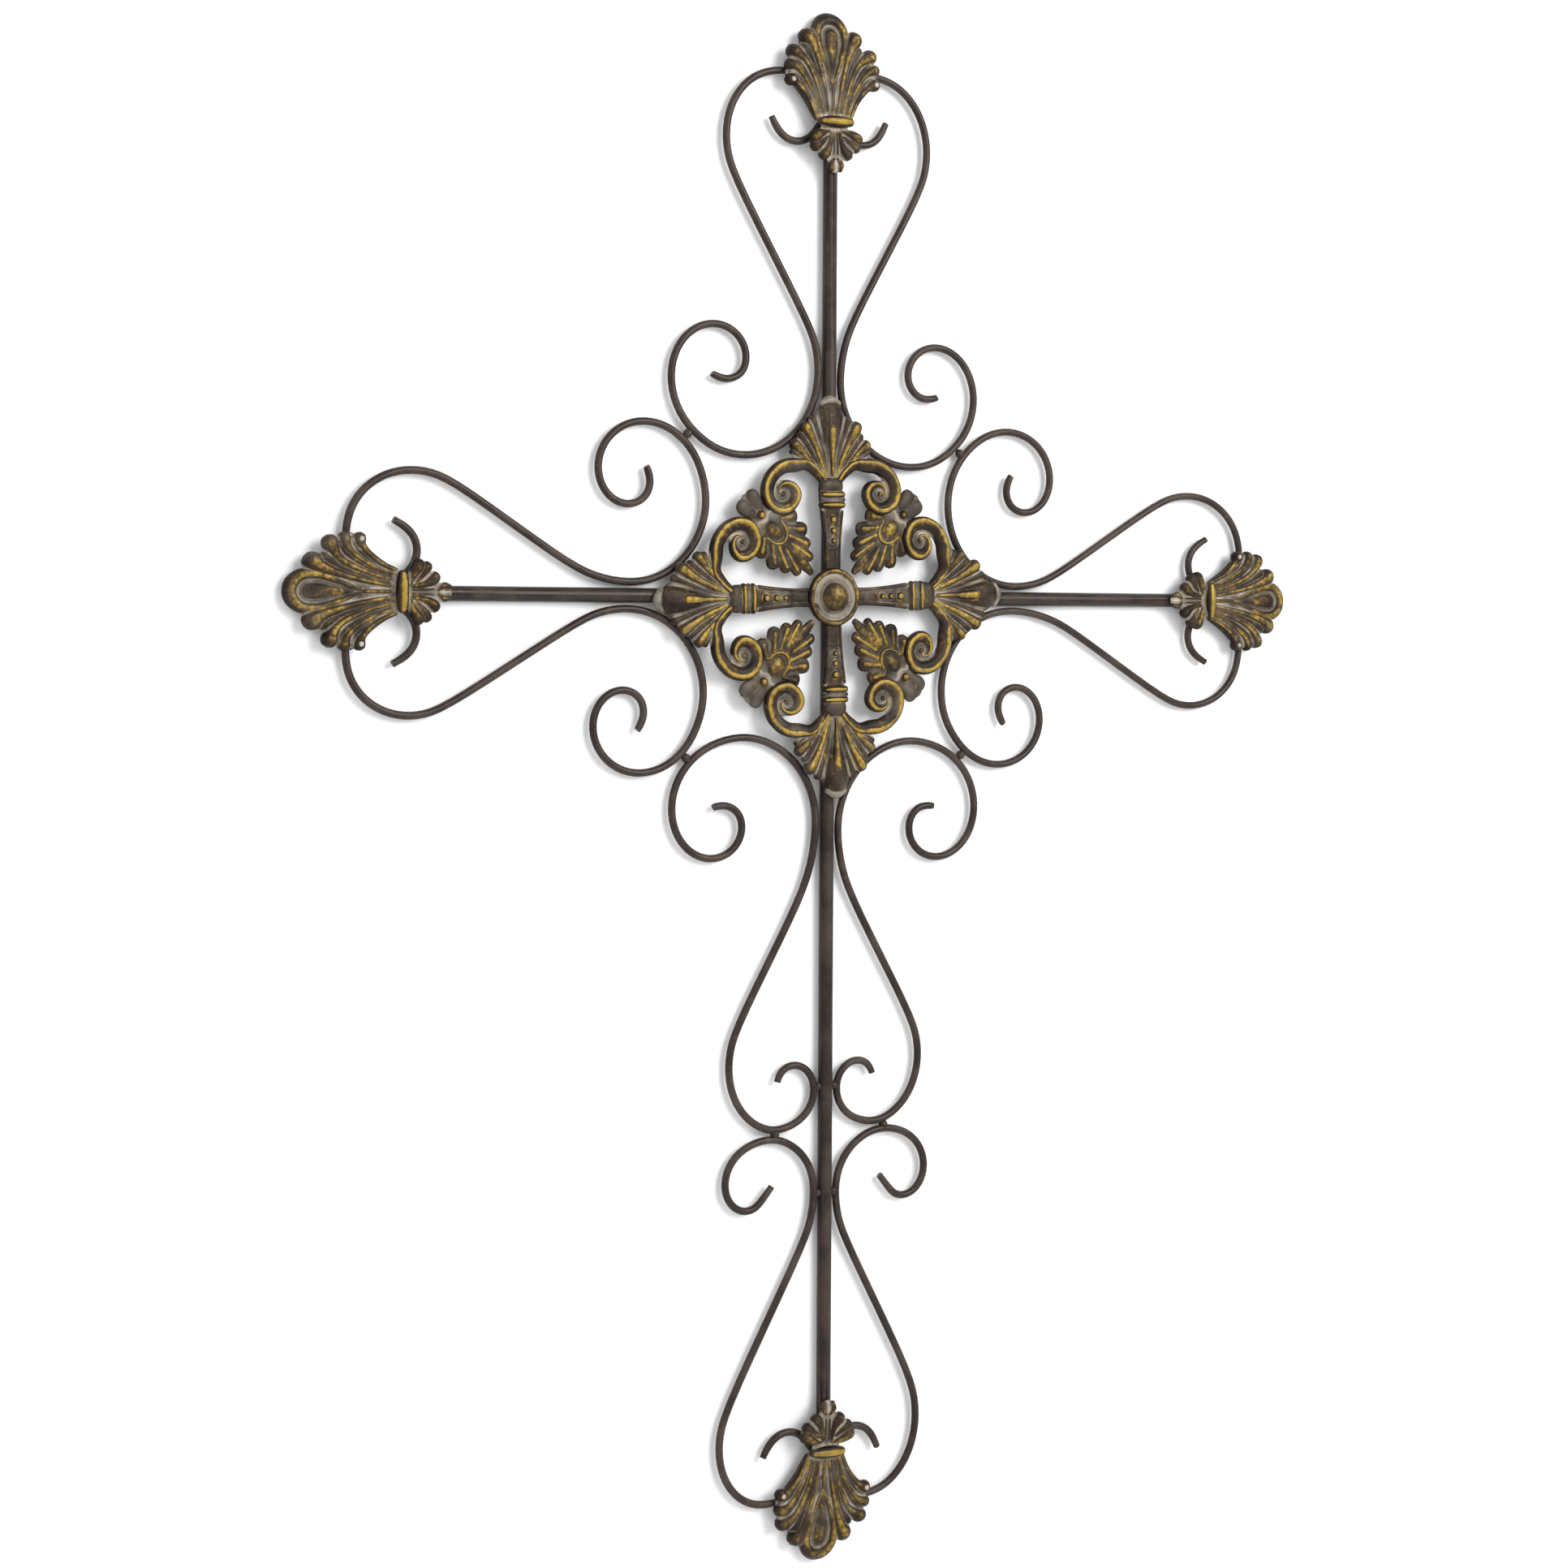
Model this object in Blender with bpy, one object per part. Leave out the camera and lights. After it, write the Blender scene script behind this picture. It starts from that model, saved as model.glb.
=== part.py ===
"""A decorative wrought iron cross for a wall: bent scrolls on a bar frame, with cast ornaments.

Metres, +Z up, front towards -Y. The origin is on the wall, behind the crossing of the bars.
Bent wires are worked out in the plane of the cross with complex numbers. In the frame of one arm,
the real part runs outward along the bar and the imaginary part runs away from the bar.
"""
import cmath
import math
from collections import namedtuple

import bpy
import bmesh
from mathutils import Vector

# Stock and clearance
BAR_RADIUS = 0.00475
BAR_SIDES = 16
WIRE_RADIUS = 0.0025
WIRE_SIDES = 6
GAP = 0.0003
WIRE_PITCH = 2 * WIRE_RADIUS + GAP
BAR_OFFSET = BAR_RADIUS + WIRE_RADIUS + GAP
WIRE_PLANE = -BAR_RADIUS
CHORD_SAG = 0.0010
WELD_THROAT = 0.0022

# Reach of each arm, from the crossing to the tip of its finial
REACH = {"top": 0.3850, "left": 0.3760, "right": 0.3835, "bottom": 0.6340}

# Outward direction of each arm, and the direction of its side whose hand is +1
OUTWARD = {"top": 1j, "left": -1 + 0j, "right": 1 + 0j, "bottom": -1j}
HAND_SIDE = {"top": 1 + 0j, "left": 1j, "right": 1j, "bottom": 1 + 0j}

# How far each hand-fitted finial leans and stands off its bar's line
FINIAL_LEAN = {"top": 1.8, "left": 0.0, "right": 0.0, "bottom": -3.0}
FINIAL_SHIFT = {"top": -0.0010, "left": 0.0008, "right": 0.0, "bottom": -0.0020}

# Finial, measured inward from its tip
NECK_INSET = 0.0695
COLLAR_INSET = 0.0730
CALYX_INSET = 0.0765
TONGUE_INSET = 0.1075
WING_INSET = 0.0400
WING_SPREAD = 0.0375
WING_LAP = 0.0070
COLLAR_HALF_WIDTH = 0.0125
COLLAR_HALF_LENGTH = 0.0042
COLLAR_HEIGHT = 0.0135
CALYX_SPINE = 0.0110
CALYX_RIM = 0.0068
TIP_BEND_INSET = 0.0450
TIP_BEND_DEPTH = 0.0055
BOW_INSET = 0.0705

# Depths of the ornaments, measured forward from the plane of the wires
WING_BACK = WIRE_RADIUS * math.cos(math.pi / WIRE_SIDES) + GAP
BAR_BACK = BAR_RADIUS + GAP
BACK_STEP = 0.0002

# Medallion
MEDALLION_TURN = math.radians(1.35)
MEDALLION_REACH = 0.1330
BOSS_RADIUS = 0.0193
ARM_ROOT = 0.0150
ARM_WAIST = 0.0300
ARM_END = 0.0620
RING_PLACES = (0.0605, 0.0675)
SHELL_NECK = 0.0730
EYE_PLACE = 0.0370 + 0.0680j
EYE_RADIUS = 0.0122

# One arm's scroll: the touch on its bar (0 where the neighbour settles it), the hoop that rolls
# from there towards the crossing and tightens into an eye, and the flare and lobe that run out
# to the finial. Turns are in degrees.
Scroll = namedtuple("Scroll", "name arm hand touch hoop hoop_turn eye tighten eye_turn "
                              "flare flare_turn lobe_turn lobe_taper")
SIDE_SCROLLS = (
    Scroll("left_arm_upper_scroll", "left", 1, 0.1458, 0.0553, 93.2, 0.0145, 330.0, 61.6,
           0.0864, 33.1, 122.1, 0.527),
    Scroll("left_arm_lower_scroll", "left", -1, 0.1475, 0.0560, 99.5, 0.0141, 323.2, 73.1,
           0.0721, 31.2, 124.5, 0.538),
    Scroll("right_arm_upper_scroll", "right", 1, 0.1478, 0.0552, 122.5, 0.0140, 299.7, 69.0,
           0.0770, 31.6, 118.2, 0.480),
    Scroll("right_arm_lower_scroll", "right", -1, 0.1434, 0.0552, 113.7, 0.0137, 303.9, 78.9,
           0.1085, 31.4, 120.6, 0.576),
)
TOP_SCROLLS = (
    Scroll("upper_left_scroll", "top", -1, 0, 0.0570, 116.7, 0.0146, 290.3, 82.7,
           0.0670, 31.8, 120.0, 0.564),
    Scroll("upper_right_scroll", "top", 1, 0, 0.0554, 116.3, 0.0156, 269.2, 88.5,
           0.0900, 30.8, 119.4, 0.522),
)

# The scrolls below the crossing end in a curl that touches the post in place of a finial
LowerScroll = namedtuple("LowerScroll", "name arm hand hoop hoop_turn eye tighten eye_turn "
                                        "flare flare_turn lobe_taper curl_taper curl_turn")
LOWER_SCROLLS = (
    LowerScroll("lower_left_scroll", "bottom", -1, 0.0577, 94.9, 0.0142, 309.4, 69.3,
                0.1095, 30.6, 0.500, 0.300, 270.0),
    LowerScroll("lower_right_scroll", "bottom", 1, 0.0585, 92.8, 0.0129, 339.6, 35.4,
                0.0977, 30.5, 0.515, 0.310, 262.0),
)
CURL_REACH = 0.3492

# The foot scrolls start in a small hoop under the curls and run down to the bottom finial
FootScroll = namedtuple("FootScroll", "name arm hand hoop hoop_turn eye tighten "
                                      "flare flare_turn lobe_turn lobe_taper")
FOOT_SCROLLS = (
    FootScroll("foot_left_scroll", "bottom", -1, 0.0372, 88.0, 0.0110, 231.8,
               0.0760, 29.7, 126.0, 0.41),
    FootScroll("foot_right_scroll", "bottom", 1, 0.0385, 88.0, 0.0108, 234.2,
               0.0741, 28.4, 118.6, 0.37),
)
EYE_TIP = 0.0015
FOOT_EYE_TIP = 0.0140

# Stretches of a bar along which a hoop is looked for its touch
HOOP_SEARCH = (0.0800, 0.2200)
FOOT_SEARCH = 0.1200

# Bow behind each finial: half of its outline from the bar's line outward
BOW_CROWN_RADIUS = 0.0100
BOW_CROWN_TURN = 55.0
BOW_SLOPE = 0.0055
BOW_HOOK_RADIUS = 0.0170
BOW_HOOK_TURN = 120.0
BOW_TIP = 0.0070

# Each bar stops inside the bow's crown, where its round end clears the faceted wire
CROWN_HOLLOW = BOW_CROWN_RADIUS - WIRE_RADIUS - CHORD_SAG - GAP
BAR_END_INSET = (BOW_INSET + BOW_CROWN_RADIUS
                 - math.sqrt(CROWN_HOLLOW ** 2 - BAR_RADIUS ** 2))


def clear_scene():
    for item in list(bpy.data.objects):
        bpy.data.objects.remove(item, do_unlink=True)


def material(name, colour, roughness, metallic):
    made = bpy.data.materials.new(name)
    made.use_nodes = True
    shader = made.node_tree.nodes["Principled BSDF"]
    shader.inputs["Base Color"].default_value = (*colour, 1.0)
    shader.inputs["Roughness"].default_value = roughness
    shader.inputs["Metallic"].default_value = metallic
    return made


def add_object(name, mesh, finish, location=(0, WIRE_PLANE, 0), turn=0.0):
    placed = bpy.data.objects.new(name, mesh)
    placed.location = location
    placed.rotation_euler = (0, turn, 0)
    if not mesh.materials:
        mesh.materials.append(finish)
    bpy.context.collection.objects.link(placed)
    return placed


def straight(start, heading, length):
    return [(start + length * cmath.exp(1j * heading), heading)]


def bend(start, heading, first_radius, last_radius, turn):
    """Stations along a bend whose radius changes evenly with its turn, in degrees."""
    angle = math.radians(abs(turn))
    way = math.copysign(1, turn)
    rate = complex(math.log(last_radius / first_radius) / angle, way)
    step = 2 * math.acos(1 - CHORD_SAG / (0.5 * (first_radius + last_radius)))
    count = max(1, math.ceil(angle / step))
    stations = []
    for index in range(1, count + 1):
        turned = angle * index / count
        reach = first_radius * cmath.exp(1j * heading) * (cmath.exp(rate * turned) - 1) / rate
        stations.append((start + reach, heading + way * turned))
    return stations


def run_of(start, heading, *pieces):
    """Join straights (length,) and bends (first radius, last radius, turn) end to end."""
    stations = [(start, heading)]
    for piece in pieces:
        point, heading = stations[-1]
        make = straight if len(piece) == 1 else bend
        stations += make(point, heading, *piece)
    return stations


def end_of(stations):
    return stations[-1][0]


def solve_pair(first, second, known):
    """Two sizes whose multiples of two complex steps add up to a known pair of measures."""
    (a, b), (c, d) = first, second
    scale = a * d - b * c
    return (known[0] * d - b * known[1]) / scale, (a * known[1] - known[0] * c) / scale


def hoop_of(scroll, start, tip=EYE_TIP):
    """Volute from the touch on the bar, rolling towards the crossing and into its eye."""
    return run_of(start, math.pi,
                  (scroll.hoop, scroll.hoop, -scroll.hoop_turn),
                  (scroll.hoop, scroll.eye, -scroll.tighten),
                  (scroll.eye, scroll.eye, -scroll.eye_turn),
                  (tip,))


def foot_hoop_of(scroll, start):
    return run_of(start, math.pi,
                  (scroll.hoop, scroll.hoop, -scroll.hoop_turn),
                  (scroll.hoop, scroll.eye, -scroll.tighten),
                  (FOOT_EYE_TIP,))


def lobe_to_finial(scroll, start, target):
    """Flare, straight and lobe, with the straight and the lobe's size found from the target."""
    flare = run_of(start, 0.0, (scroll.flare, scroll.flare, scroll.flare_turn))
    heading = math.radians(scroll.flare_turn)
    along = cmath.exp(1j * heading)
    lobe = end_of(run_of(0j, heading, (1.0, scroll.lobe_taper, -scroll.lobe_turn)))
    left = target - end_of(flare)
    length, radius = solve_pair((along.real, lobe.real), (along.imag, lobe.imag),
                                (left.real, left.imag))
    return flare + run_of(end_of(flare), heading, (length,),
                          (radius, radius * scroll.lobe_taper, -scroll.lobe_turn), (WING_LAP,))[1:]


def lobe_to_curl(scroll, start):
    """Flare, straight, lobe and curl; the curl's bottom and its touch on the post are given."""
    flare = run_of(start, 0.0, (scroll.flare, scroll.flare, scroll.flare_turn))
    heading = math.radians(scroll.flare_turn)
    along = cmath.exp(1j * heading)
    lobe_turn = scroll.flare_turn + 90
    lobe = end_of(run_of(0j, heading, (1.0, scroll.lobe_taper, -lobe_turn)))
    quarter_taper = scroll.curl_taper ** (90 / scroll.curl_turn)
    quarter = end_of(run_of(0j, -math.pi / 2,
                            (scroll.lobe_taper, scroll.lobe_taper * quarter_taper, -90)))
    left = complex(CURL_REACH, BAR_OFFSET) - end_of(flare)
    length, radius = solve_pair((along.real, lobe.real), (along.imag, (lobe + quarter).imag),
                                (left.real, left.imag))
    inner = radius * scroll.lobe_taper
    return flare + run_of(end_of(flare), heading, (length,), (radius, inner, -lobe_turn),
                          (inner, inner * scroll.curl_taper, -scroll.curl_turn))[1:]


def to_plane(arm, hand, stations):
    """Arm frame to the plane of the cross, with world X real and world Z imaginary."""
    outward, side = OUTWARD[arm], HAND_SIDE[arm] * hand
    return [point.real * outward + point.imag * side for point, heading in stations]


def segment_distance(point, first, last):
    step = last - first
    share = ((point - first) * step.conjugate()).real / abs(step) ** 2
    return abs(point - first - min(1, max(0, share)) * step)


def distance_between(one, other):
    nearest = math.inf
    for line, points in ((one, other), (other, one)):
        for first, last in zip(line, line[1:]):
            for point in points:
                nearest = min(nearest, segment_distance(point, first, last))
    return nearest


def settle(make, arm, hand, neighbour, pitch, near, far):
    """Touch on the bar at which a hoop, coming in from far towards near, meets its neighbour."""
    def clears(touch):
        hoop = to_plane(arm, hand, make(complex(touch, BAR_OFFSET)))
        return distance_between(hoop, neighbour) > pitch

    steps = 100
    for index in range(steps):
        inner = far + (near - far) * index / steps
        if not clears(inner):
            break
    outer = inner + (far - near) / steps
    for _ in range(20):
        middle = (inner + outer) / 2
        if clears(middle):
            outer = middle
        else:
            inner = middle
    return outer


def polygon_ring(centre, across, radius, sides):
    """Ring of a round section: across is its in-plane normal, and its other axis is depth."""
    ring = []
    for index in range(sides):
        angle = 2 * math.pi * index / sides
        flat = centre + across * radius * math.cos(angle)
        ring.append(Vector((flat.real, radius * math.sin(angle), flat.imag)))
    return ring


def finish_mesh(work, name, smooth_angle=40):
    bmesh.ops.recalc_face_normals(work, faces=work.faces)
    mesh = bpy.data.meshes.new(name)
    work.to_mesh(mesh)
    work.free()
    mesh.shade_smooth()
    mesh.set_sharp_from_angle(angle=math.radians(smooth_angle))
    return mesh


def sweep_round(name, points, radius, sides):
    """Round rod along a line of points in the plane, mitred at its stations, cut square."""
    work = bmesh.new()
    rings = []
    for index, point in enumerate(points):
        before = point - points[index - 1] if index else points[1] - point
        after = points[index + 1] - point if index + 1 < len(points) else before
        way = before / abs(before) + after / abs(after)
        lean = abs(way) / 2
        across = way / abs(way) * 1j
        ring = polygon_ring(point, across / lean, radius, sides)
        rings.append([work.verts.new(corner) for corner in ring])
    for first, last in zip(rings, rings[1:]):
        for index in range(sides):
            after = (index + 1) % sides
            work.faces.new((first[index], first[after], last[after], last[index]))
    work.faces.new(rings[0])
    work.faces.new(rings[-1])
    return finish_mesh(work, name)


def relief(grid, back):
    """Closed casting from a front grid of (across, along, forward) points and a flat back."""
    work = bmesh.new()
    rows = [[work.verts.new((x, -depth, z)) for x, z, depth in row] for row in grid]
    for lower, upper in zip(rows, rows[1:]):
        for index in range(len(lower) - 1):
            work.faces.new((lower[index], lower[index + 1], upper[index + 1], upper[index]))
    border = (rows[0] + [row[-1] for row in rows[1:-1]] + rows[-1][::-1]
              + [row[0] for row in rows[-2:0:-1]])
    under = [work.verts.new((corner.co.x, -back, corner.co.z)) for corner in border]
    for index, corner in enumerate(border):
        after = (index + 1) % len(border)
        work.faces.new((corner, border[after], under[after], under[index]))
    work.faces.new(under)
    bmesh.ops.remove_doubles(work, verts=work.verts, dist=1e-6)
    bmesh.ops.recalc_face_normals(work, faces=work.faces)
    return work


def turned_dome(profile, back, sides):
    """Closed round casting on the depth axis from (radius, forward) points, rim to centre."""
    work = bmesh.new()
    rings = []
    for radius, depth in [(profile[0][0], back)] + list(profile[:-1]):
        rings.append([work.verts.new((radius * math.cos(2 * math.pi * k / sides), -depth,
                                      radius * math.sin(2 * math.pi * k / sides)))
                      for k in range(sides)])
    for first, last in zip(rings, rings[1:]):
        for index in range(sides):
            after = (index + 1) % sides
            work.faces.new((first[index], first[after], last[after], last[index]))
    work.faces.new(rings[0])
    crown = work.verts.new((0, -profile[-1][1], 0))
    for index in range(sides):
        work.faces.new((rings[-1][index], rings[-1][(index + 1) % sides], crown))
    bmesh.ops.recalc_face_normals(work, faces=work.faces)
    return work


def moved(work, turn=0.0, shift=0j, mirror=False):
    """Turn a casting in its plane, counter-clockwise from the front, then shift it."""
    spin = cmath.exp(1j * turn)
    for corner in work.verts:
        flat = complex(-corner.co.x if mirror else corner.co.x, corner.co.z) * spin + shift
        corner.co.x, corner.co.z = flat.real, flat.imag
    if mirror:
        bmesh.ops.reverse_faces(work, faces=work.faces)
    return work


def fused(name, pieces):
    """One closed mesh from castings that overlap."""
    items = []
    for piece in pieces:
        bmesh.ops.triangulate(piece, faces=piece.faces)
        mesh = bpy.data.meshes.new("piece")
        piece.to_mesh(mesh)
        piece.free()
        items.append(bpy.data.objects.new("piece", mesh))
        bpy.context.collection.objects.link(items[-1])
    body = items[0]
    for item in items[1:]:
        join = body.modifiers.new("join", "BOOLEAN")
        join.operation = "UNION"
        join.solver = "MANIFOLD"
        join.object = item
    shape = bpy.data.meshes.new_from_object(
        body.evaluated_get(bpy.context.evaluated_depsgraph_get()))
    for item in items:
        bpy.data.objects.remove(item, do_unlink=True)
    work = bmesh.new()
    work.from_mesh(shape)
    bmesh.ops.triangulate(work, faces=work.faces)
    return finish_mesh(work, name, 35)


def fluted_shell(side_lobes, centre_lobe, neck, neck_half_width, rim, valley, crest, back):
    """Palmette of gadroons with its neck towards the negative along.

    Each side lobe is (across, along, radius, fan towards the neck, fan towards the centre), from
    the neck to the centre; the centre lobe is (along, radius, half fan). Fans are in degrees.
    """
    half = []
    for across, along, radius, low, high in side_lobes + [(0.0, *centre_lobe, centre_lobe[-1])]:
        centre = complex(across, along)
        aim = cmath.phase(centre - complex(0, neck))
        shoulders = [centre + radius * cmath.exp(1j * (aim + math.radians(fan)))
                     for fan in (-low, 0, high)]
        if half:
            meeting = (half[-1][0] + shoulders[0]) / 2
            half.append((meeting - 0.3 * radius * cmath.exp(1j * aim), 0.0))
        half += zip(shoulders, (0.55, 1.0, 0.55))
    edge = half[:-1] + [(complex(-point.real, point.imag), ridge) for point, ridge in half[-3::-1]]
    rows = []
    for share in (0.0, 0.72, 1.0):
        row = []
        for index, (outer, ridge) in enumerate(edge):
            spread = 1 - 2 * index / (len(edge) - 1)
            inner = complex(neck_half_width * spread, neck)
            knee = complex(inner.real + 0.15 * (outer.real - inner.real),
                           0.5 * (inner.imag + outer.imag))
            point = ((1 - share) ** 2 * inner + 2 * share * (1 - share) * knee
                     + share ** 2 * outer)
            height = valley + (crest - valley) * ridge * (0.35 + 0.65 * share)
            row.append((point.real, point.imag, height if share < 1.0 else rim))
        rows.append(row)
    return relief(rows, back)


def leaf(outline, spine_height, rim, back):
    """Domed leaf from half an outline of (along, half width), symmetric about its spine."""
    rows = []
    for along, half in outline:
        rows.append([(share * half, along, height) for share, height in
                     ((-1.0, rim), (0.0, spine_height), (1.0, rim))])
    return relief(rows, back)


def ringed_collar(places, half_width, half_length, height, back):
    """Band across a neck with a half-round ring at each of its places."""
    rows = []
    low = back + 0.4 * (height - back)
    for across, share in ((-1.0, 0.5), (-0.75, 0.95), (0.75, 0.95), (1.0, 0.5)):
        row = []
        for place in places:
            row += [(across * half_width, place - half_length, low),
                    (across * half_width, place, back + (height - back) * share)]
        row.append((across * half_width, places[-1] + half_length, low))
        rows.append(row)
    return relief(rows, back)


def scroll_band(path, half_widths, rim, ridge, back):
    """Moulded band along a line of points, highest near its outer edge."""
    rows = []
    for index, point in enumerate(path):
        before = path[max(index - 1, 0)]
        after = path[min(index + 1, len(path) - 1)]
        across = (after - before) / abs(after - before) * 1j
        half = half_widths[0] + (half_widths[1] - half_widths[0]) * index / (len(path) - 1)
        places = [point + across * half * share for share in (-1.0, 0.4, 1.0)]
        rows.append([(place.real, place.imag, height)
                     for place, height in zip(places, (rim, ridge, rim))])
    return relief(rows, back)


def finial_mesh():
    """Palmette, collar and calyx in one casting; its tip is at along zero and bends back."""
    lobes = [(0.0310, -0.0435, 0.0052, 75, 15), (0.0325, -0.0345, 0.0045, 40, 35),
             (0.0265, -0.0265, 0.0075, 55, 50), (0.0165, -0.0180, 0.0085, 55, 50)]
    palmette = fluted_shell(lobes, (-0.0125, 0.0125, 65), -NECK_INSET - 0.002,
                            COLLAR_HALF_WIDTH - 0.002, 0.0045, 0.0060, 0.0098, WING_BACK)
    collar = ringed_collar((-COLLAR_INSET,), COLLAR_HALF_WIDTH, COLLAR_HALF_LENGTH,
                           COLLAR_HEIGHT, BAR_BACK + BACK_STEP)
    length = TONGUE_INSET - CALYX_INSET
    outline = [(-CALYX_INSET - share * length, half) for share, half in
               ((1.0, 0.0015), (0.82, 0.0062), (0.68, 0.0075), (0.60, 0.0140), (0.48, 0.0182),
                (0.37, 0.0178), (0.27, 0.0205), (0.16, 0.0185), (-0.065, 0.0105))]
    calyx = leaf(outline, CALYX_SPINE, CALYX_RIM, BAR_BACK)
    casting = fused("finial", [palmette, collar, calyx])
    for corner in casting.vertices:
        share = max(0.0, 1 + corner.co.z / TIP_BEND_INSET)
        corner.co.y += TIP_BEND_DEPTH * share ** 2
    return casting


def quarter_of_medallion(turn):
    """One arm, its shell and scrolls, and the leaf on the diagonal to its right."""
    shell_lobes = [(0.0265, 0.0975, 0.0062, 55, 45), (0.0185, 0.1085, 0.0068, 55, 50)]
    shell = fluted_shell(shell_lobes, (MEDALLION_REACH - 0.0125, 0.0125, 45), SHELL_NECK - 0.002,
                         0.0085, 0.0068, 0.0075, 0.0112, BAR_BACK)
    shaft = leaf([(ARM_ROOT, 0.0066), (ARM_WAIST, 0.0062), (ARM_END, 0.0088),
                  (SHELL_NECK, 0.0100)], 0.0098, 0.0072, BAR_BACK + BACK_STEP)
    rings = ringed_collar(RING_PLACES, 0.0100, 0.0033, 0.0112, BAR_BACK + 2 * BACK_STEP)
    pieces = [shell, shaft, rings]
    for way in (1, -1):
        path = [EYE_PLACE + radius * cmath.exp(1j * math.radians(degrees)) for degrees, radius in
                ((170, 0.0285), (142, 0.0258), (112, 0.0212), (78, 0.0165), (40, 0.0130),
                 (0, 0.0112))]
        band = scroll_band(path, (0.0044, 0.0040), 0.0068, 0.0102, BAR_BACK + 3 * BACK_STEP)
        moved(band, mirror=way < 0)
        eye = turned_dome([(EYE_RADIUS, 0.0068), (EYE_RADIUS - 0.0035, 0.0100), (0, 0.0094)],
                          BAR_BACK + 4 * BACK_STEP, 8)
        moved(eye, shift=complex(way * EYE_PLACE.real, EYE_PLACE.imag))
        pieces += [band, eye]
    outline = [(0.0205, 0.0015), (0.0270, 0.0095), (0.0330, 0.0143), (0.0380, 0.0135),
               (0.0460, 0.0218), (0.0510, 0.0190), (0.0580, 0.0225), (0.0700, 0.0160),
               (0.0800, 0.0085), (0.0910, 0.0090), (0.0965, 0.0035)]
    spray = leaf(outline, 0.0105, 0.0068, BAR_BACK + 5 * BACK_STEP)
    pieces.append(moved(spray, turn=-math.pi / 4))
    return [moved(piece, turn=turn) for piece in pieces]


def medallion_mesh():
    boss = turned_dome([(BOSS_RADIUS, 0.0085), (0.0175, 0.0112), (0.0110, 0.0094),
                        (0.0080, 0.0130), (0, 0.0148)], BAR_BACK + 6 * BACK_STEP, 14)
    pieces = [boss]
    for quarter in range(4):
        pieces += quarter_of_medallion(quarter * math.pi / 2)
    for piece in pieces:
        moved(piece, turn=MEDALLION_TURN)
    return fused("medallion", pieces)


def wing_target(arm, hand):
    """Where a lobe ends behind the wing of its arm's finial, in the frame of that arm."""
    lean = math.radians(FINIAL_LEAN[arm])
    side_way = (HAND_SIDE[arm] / OUTWARD[arm]).imag
    pivot = complex(REACH[arm] - COLLAR_INSET, hand * FINIAL_SHIFT[arm])
    wing = complex(COLLAR_INSET - WING_INSET, WING_SPREAD)
    return pivot + wing * cmath.exp(1j * lean * side_way * hand)


def wires():
    """Name and line in the plane of every scroll."""
    lines = {}
    for scroll in SIDE_SCROLLS + TOP_SCROLLS:
        touch = scroll.touch
        if scroll.arm == "top":
            side = "left" if scroll.hand < 0 else "right"
            neighbour = lines[side + "_arm_upper_scroll"]
            touch = settle(lambda start: hoop_of(scroll, start), "top", scroll.hand,
                           neighbour, WIRE_PITCH + WELD_THROAT, *HOOP_SEARCH)
        start = complex(touch, BAR_OFFSET)
        target = wing_target(scroll.arm, scroll.hand)
        lobe = lobe_to_finial(scroll, start, target)
        lines[scroll.name] = to_plane(scroll.arm, scroll.hand,
                                      hoop_of(scroll, start)[::-1] + lobe[1:])
    for scroll in LOWER_SCROLLS:
        side = "left" if scroll.hand < 0 else "right"
        touch = settle(lambda start: hoop_of(scroll, start), "bottom", scroll.hand,
                       lines[side + "_arm_lower_scroll"], WIRE_PITCH + WELD_THROAT, *HOOP_SEARCH)
        start = complex(touch, BAR_OFFSET)
        lines[scroll.name] = to_plane("bottom", scroll.hand,
                                      hoop_of(scroll, start)[::-1] + lobe_to_curl(scroll, start)[1:])
    for scroll in FOOT_SCROLLS:
        side = "left" if scroll.hand < 0 else "right"
        touch = settle(lambda start: foot_hoop_of(scroll, start), "bottom", scroll.hand,
                       lines["lower_" + side + "_scroll"], WIRE_PITCH,
                       CURL_REACH, CURL_REACH + FOOT_SEARCH)
        start = complex(touch, BAR_OFFSET)
        lobe = lobe_to_finial(scroll, start, wing_target("bottom", scroll.hand))
        lines[scroll.name] = to_plane("bottom", scroll.hand,
                                      foot_hoop_of(scroll, start)[::-1] + lobe[1:])
    return lines


def bow_line():
    """Bow in the finial's frame, across + along j, from one tip to the other."""
    half = run_of(complex(0, -BOW_INSET), 0.0,
                  (BOW_CROWN_RADIUS, BOW_CROWN_RADIUS, -BOW_CROWN_TURN), (BOW_SLOPE,),
                  (BOW_HOOK_RADIUS, BOW_HOOK_RADIUS, BOW_HOOK_TURN), (BOW_TIP,))
    right = [point for point, heading in half]
    return [complex(-point.real, point.imag) for point in right[:0:-1]] + right


def finial_place(arm):
    """Turn of a finial about the depth axis and the plane point of its tip."""
    turn = cmath.phase(OUTWARD[arm] / 1j) + math.radians(FINIAL_LEAN[arm])
    pivot = OUTWARD[arm] * (REACH[arm] - COLLAR_INSET) + HAND_SIDE[arm] * FINIAL_SHIFT[arm]
    return turn, pivot + COLLAR_INSET * 1j * cmath.exp(1j * turn)


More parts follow.
